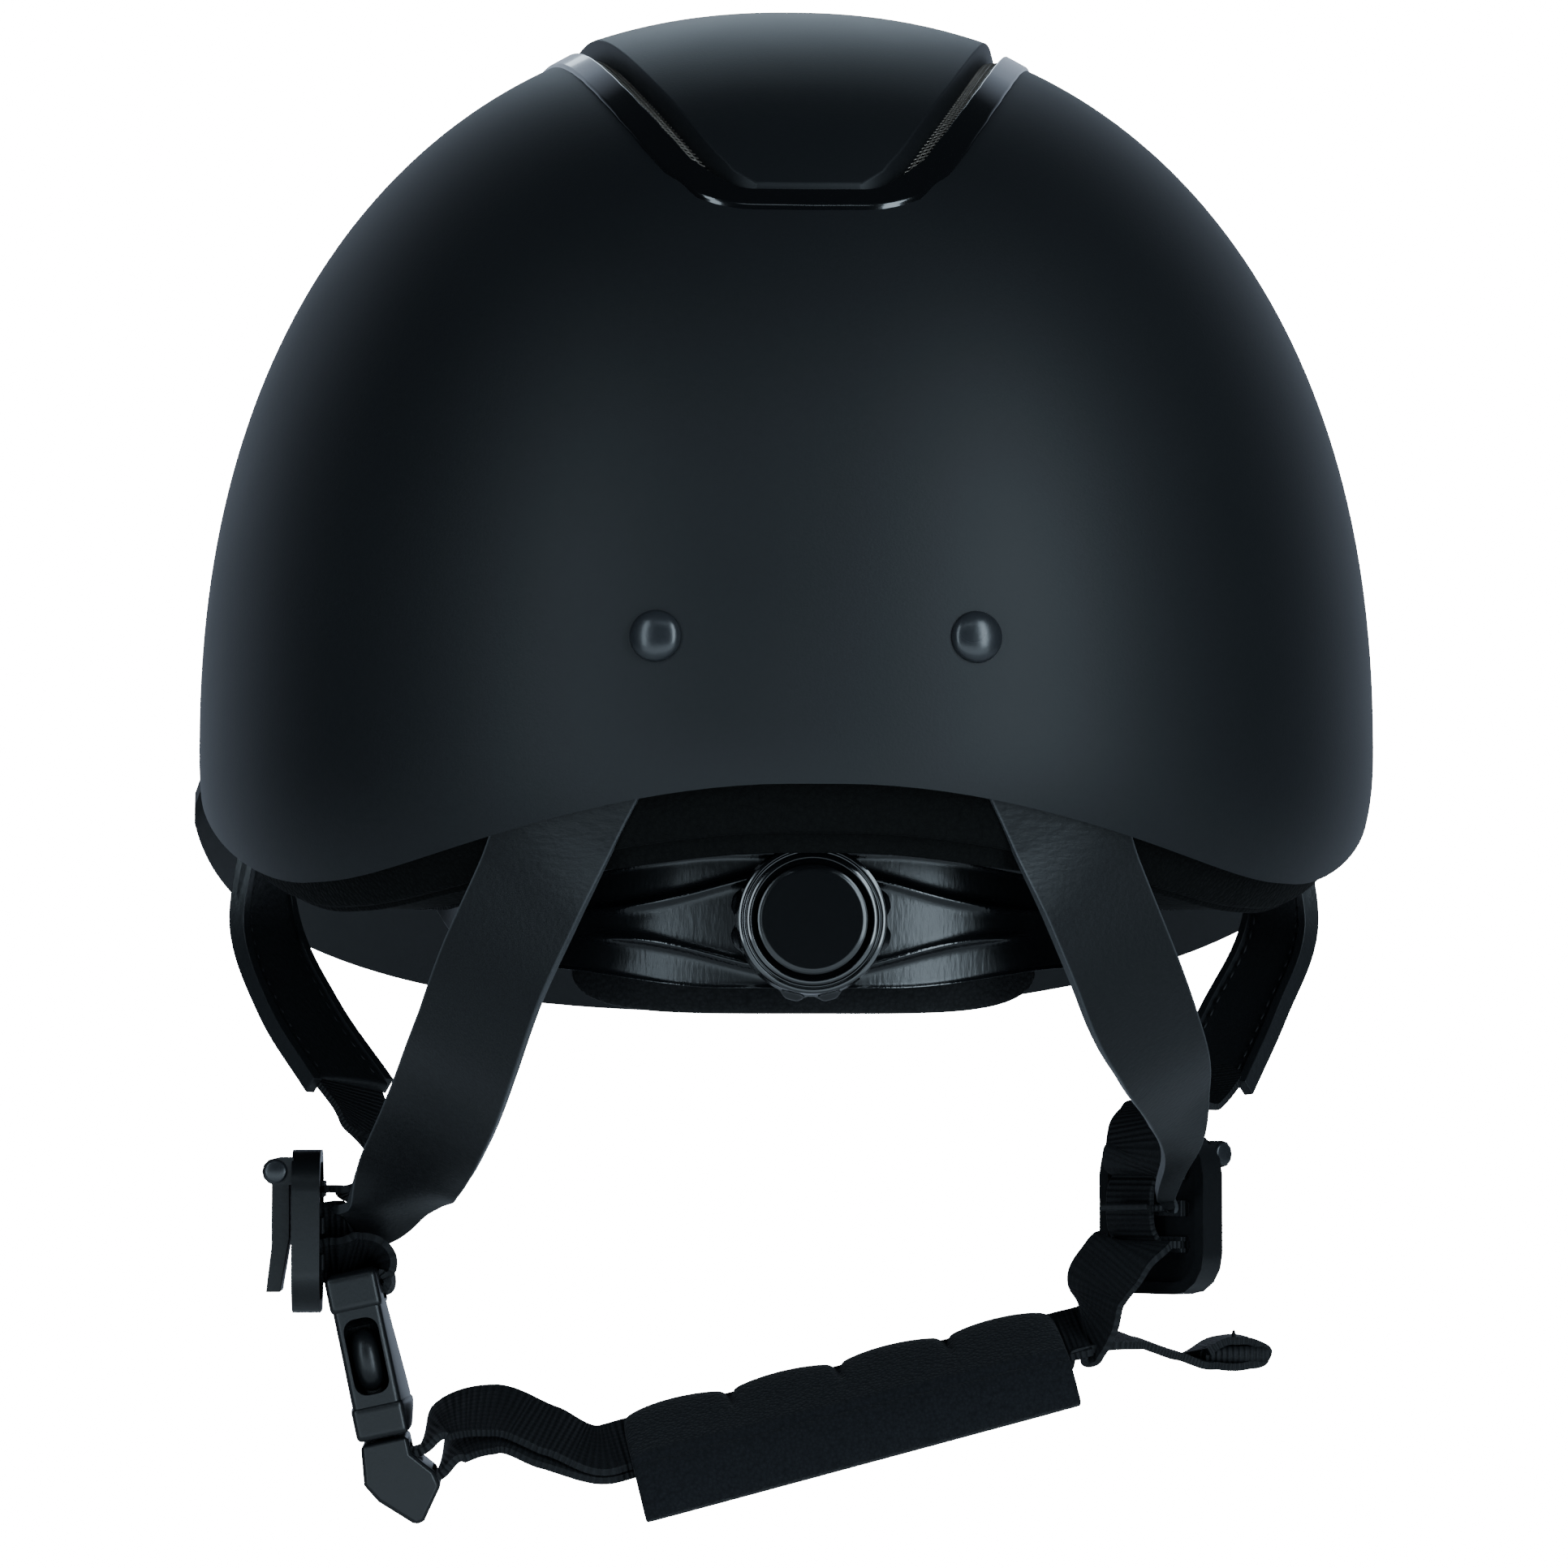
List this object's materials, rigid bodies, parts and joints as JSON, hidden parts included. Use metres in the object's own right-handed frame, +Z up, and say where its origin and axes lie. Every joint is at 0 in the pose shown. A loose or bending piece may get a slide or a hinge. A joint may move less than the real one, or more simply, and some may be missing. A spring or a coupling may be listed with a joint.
{
  "type": "riding helmet",
  "caption": "Matt riding helmet with a wide peak, mesh-vented crown, dial-adjusted nape cradle and a harness with a side-release buckle.",
  "frame": {"origin": "middle of the head opening, level with the lowest corners of the shell's rear rim", "axes": "+X wearer's right, +Y forwards to the peak, +Z up"},
  "size_m": [0.216, 0.309, 0.2706],
  "materials": {
    "shell": "matt lacquer",
    "trim": "gloss",
    "mesh": "dark wire",
    "foam": "expanded foam with fabric edge",
    "lining": "knit",
    "rivet": "satin",
    "strap": "smooth synthetic leather",
    "webbing": "ribbed webbing",
    "satin": "satin moulding",
    "steel": "plain",
    "chin_cloth": "soft knit"
  },
  "bodies": {
    "helmet": {"outer_shell": "shell", "crown_panel": "shell", "vent_trim": "trim", "vent_mesh_left": "mesh", "vent_mesh_right": "mesh", "peak": "shell", "impact_liner": "foam", "comfort_lining": "lining", "brow_pad": "lining", "rear_rivet_left": "rivet", "rear_rivet_right": "rivet", "front_rivet_left": "rivet", "front_rivet_right": "rivet", "rear_strap_left": "strap", "rear_strap_right": "strap", "front_strap_cover_left": "strap", "front_strap_cover_right": "strap", "front_webbing_left": "webbing", "front_webbing_right": "webbing", "divider_base_left": "satin", "divider_base_right": "satin", "divider_pin_left": "steel", "divider_pin_right": "steel", "buckle_webbing": "webbing", "buckle_female": "satin", "chin_webbing_anchor": "webbing", "pivot_pin_left": "steel", "pivot_pin_right": "steel"},
    "cradle": {"nape_cradle": "satin", "dial_back_cover": "satin", "cover_screw_left": "steel", "cover_screw_right": "steel", "nape_pad": "lining"},
    "dial": {"dial_knob": "satin", "dial_cap": "satin", "dial_pinion": "satin"},
    "left_band": {"left_rack_band": "satin"},
    "right_band": {"right_rack_band": "satin"},
    "left_lever": {"divider_lever_left": "satin"},
    "right_lever": {"divider_lever_right": "satin"},
    "chin_strap": {"chin_webbing": "webbing", "chin_webbing_return": "webbing", "buckle_male": "satin"},
    "prong_front": {"buckle_prong_front": "satin"},
    "prong_rear": {"buckle_prong_rear": "satin"},
    "chin_pad": {"chin_pad": "chin_cloth"}
  },
  "joints": [
    {"name": "cradle_tilt", "type": "hinge", "parent": "helmet", "child": "cradle", "pos_m": [0, -0.014, 0.016], "axis": [1, 0, 0], "range_deg": [0, 10]},
    {"name": "dial_turn", "type": "hinge", "parent": "cradle", "child": "dial", "pos_m": [0, -0.1, -0.0073], "axis": [0, 1, 0], "range_deg": [-115, 115]},
    {"name": "left_band_slide", "type": "hinge", "parent": "cradle", "child": "left_band", "pos_m": [0, -0.029, 0], "axis": [0, 0, 1], "range_deg": [-7.2, 7.2]},
    {"name": "right_band_slide", "type": "hinge", "parent": "cradle", "child": "right_band", "pos_m": [0, -0.029, 0], "axis": [0, 0, 1], "range_deg": [-7.2, 7.2]},
    {"name": "left_lever", "type": "hinge", "parent": "helmet", "child": "left_lever", "pos_m": [-0.0909, 0, -0.0493], "axis": [0, 1, 0], "range_deg": [0, 70]},
    {"name": "right_lever", "type": "hinge", "parent": "helmet", "child": "right_lever", "pos_m": [0.07214, 0.00347, -0.0463], "axis": [0.6428, -0.766, 0], "range_deg": [0, 70]},
    {"name": "chin_strap_swing", "type": "hinge", "parent": "helmet", "child": "chin_strap", "pos_m": [0.056, -0.005, -0.07], "axis": [0, -1, 0], "range_deg": [0, 40], "deforming": ["buckle_prong_front", "buckle_prong_rear"]},
    {"name": "prong_front_press", "type": "hinge", "parent": "chin_strap", "child": "prong_front", "pos_m": [-0.07156, 0.0099, -0.09671], "axis": [0.9783, 0, 0.2072], "range_deg": [0, 6], "stiffness_Nm_per_rad": 0.03},
    {"name": "prong_rear_press", "type": "hinge", "parent": "chin_strap", "child": "prong_rear", "pos_m": [-0.07156, -0.0059, -0.09671], "axis": [-0.9783, 0, -0.2072], "range_deg": [0, 6], "stiffness_Nm_per_rad": 0.03},
    {"name": "chin_pad_slide", "type": "slide", "parent": "chin_strap", "child": "chin_pad", "axis": [0.9716, 0, 0.2367], "range_m": [-0.003, 0.003]}
  ],
  "couplings": [
    {"joint": "left_band_slide", "follows": "dial_turn", "ratio": 0.062016},
    {"joint": "right_band_slide", "follows": "dial_turn", "ratio": -0.062016}
  ]
}
